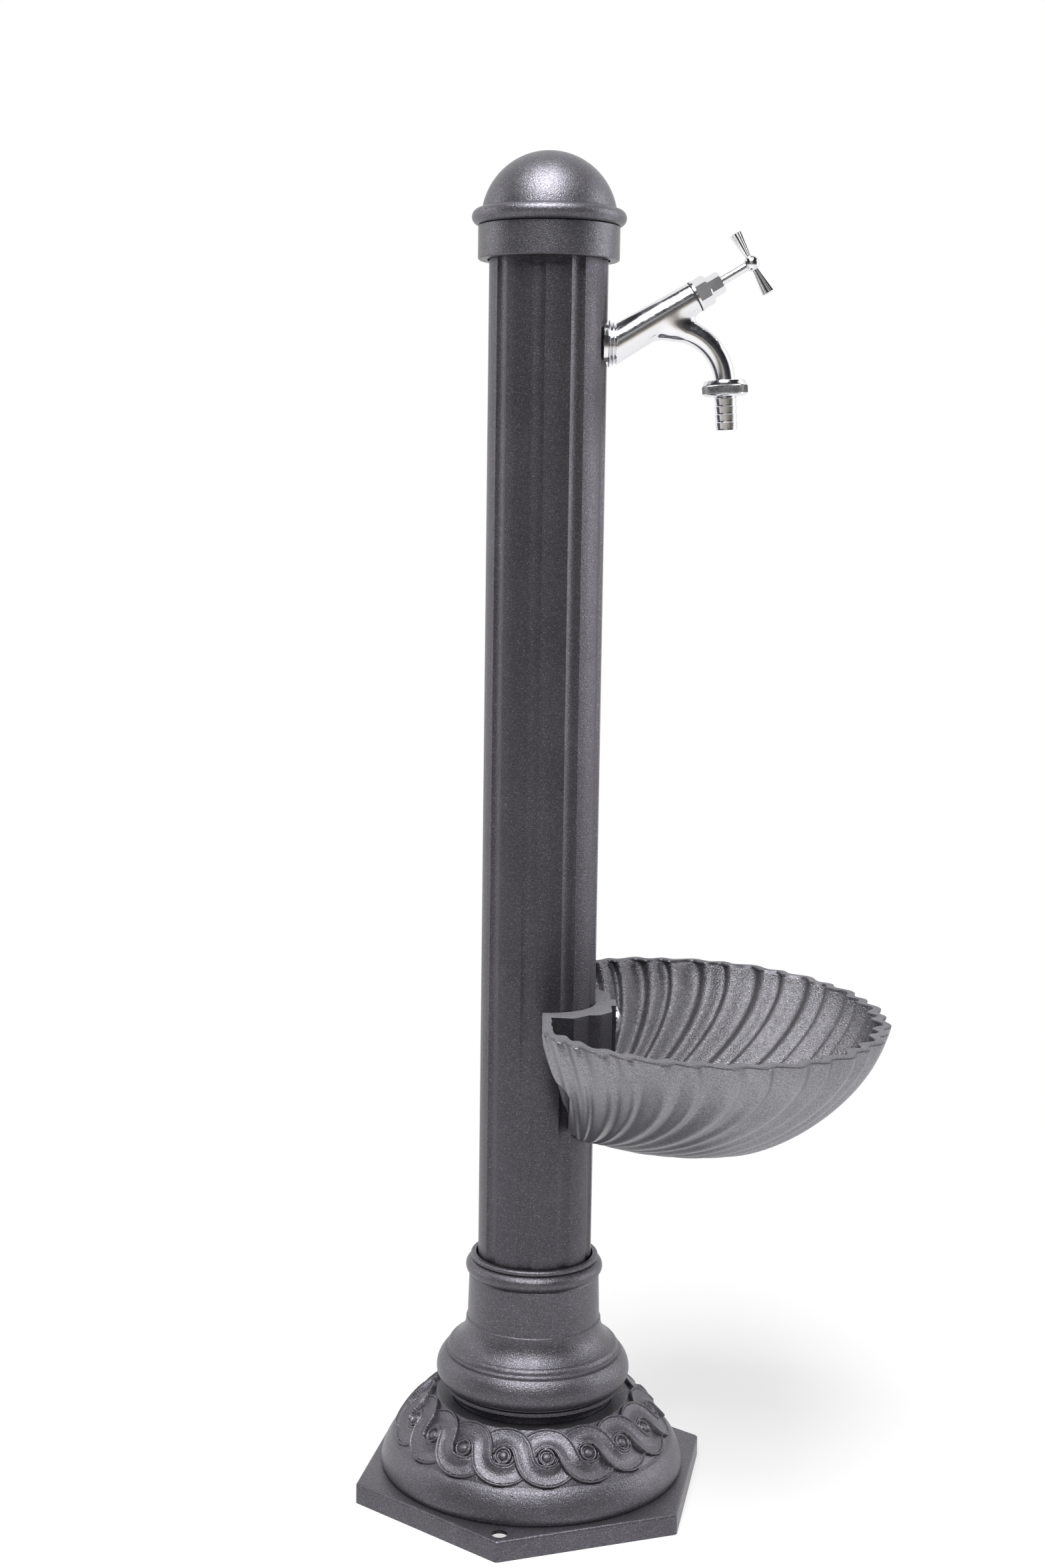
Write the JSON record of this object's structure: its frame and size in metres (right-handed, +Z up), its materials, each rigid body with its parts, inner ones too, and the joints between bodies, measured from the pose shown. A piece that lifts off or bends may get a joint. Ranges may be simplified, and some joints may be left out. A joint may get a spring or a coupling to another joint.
{
  "type": "column fountain with basin",
  "caption": "Free-standing column fountain with a bib tap, a domed cap, a fluted shell basin and a hexagonal bolt-down base with a domed bell.",
  "frame": {"origin": "on the column's axis at the underside of the base plate", "axes": "+Z up along the column, +X towards the tap and the basin's tip"},
  "size_m": [0.3654, 0.322, 0.9278],
  "materials": {
    "grey_base": "powder coat over cast aluminium, fine sparkle, satin",
    "grey_pedestal": "powder coat over cast aluminium, fine sparkle, satin",
    "grey_column": "powder coat over cast aluminium, fine sparkle, satin",
    "grey_cap": "powder coat over cast aluminium, fine sparkle, satin",
    "grey_basin": "powder coat over cast aluminium, fine sparkle, satin",
    "steel": "zinc plated",
    "pipe_steel": "drawn stainless",
    "brass": "machined",
    "chrome": "polished chrome plate over brass",
    "bolt_chrome": "polished chrome plate",
    "rubber": "matt"
  },
  "bodies": {
    "stand": {"base_flange": "grey_base", "pedestal": "grey_pedestal", "column": "grey_column", "dome_cap": "grey_cap", "basin": "grey_basin", "tie_rod": "steel", "tie_rod_washer": "steel", "tie_rod_nut": "steel", "inlet_fitting": "brass", "inlet_lock_nut": "brass", "supply_pipe": "pipe_steel", "pipe_nut_lower": "brass", "pipe_nut_upper": "brass", "tap_elbow": "brass", "tap_backing_washer": "steel", "tap_rosette": "chrome", "tap_body": "chrome", "bonnet_seal": "rubber", "bonnet": "chrome", "gland_packing": "rubber", "gland_nut": "chrome", "basin_bolt": "bolt_chrome", "basin_bolt_washer": "bolt_chrome", "basin_backing_washer": "steel", "basin_bolt_nut": "steel"},
    "valve": {"valve_carrier": "brass", "valve_washer": "rubber"},
    "handle": {"spindle": "chrome", "handle_ball": "chrome", "handle_arm_lower": "chrome", "handle_arm_upper": "chrome"},
    "hose_end": {"hose_tail": "chrome", "union_seal": "rubber"},
    "nut": {"union_nut": "chrome"}
  },
  "joints": [
    {"name": "valve_lift", "type": "slide", "parent": "stand", "child": "valve", "axis": [0.8572, 0, 0.515], "range_m": [0, 0.0045]},
    {"name": "handle_turn", "type": "hinge", "parent": "valve", "child": "handle", "pos_m": [0.0456, 0, 0.8024], "axis": [0.8572, 0, 0.515], "range_deg": [0, 846]},
    {"name": "union_drop", "type": "slide", "parent": "stand", "child": "hose_end", "axis": [0.061, 0, -0.9981], "range_m": [0, 0.00726]},
    {"name": "union_turn", "type": "hinge", "parent": "hose_end", "child": "nut", "pos_m": [0.11943, 0, 0.77823], "axis": [0.061, 0, -0.9981], "range_deg": [0, 1500]}
  ],
  "couplings": [
    {"joint": "handle_turn", "follows": "valve_lift", "rad_per_m": 3141.6},
    {"joint": "union_turn", "follows": "union_drop", "rad_per_m": 3461.8}
  ]
}
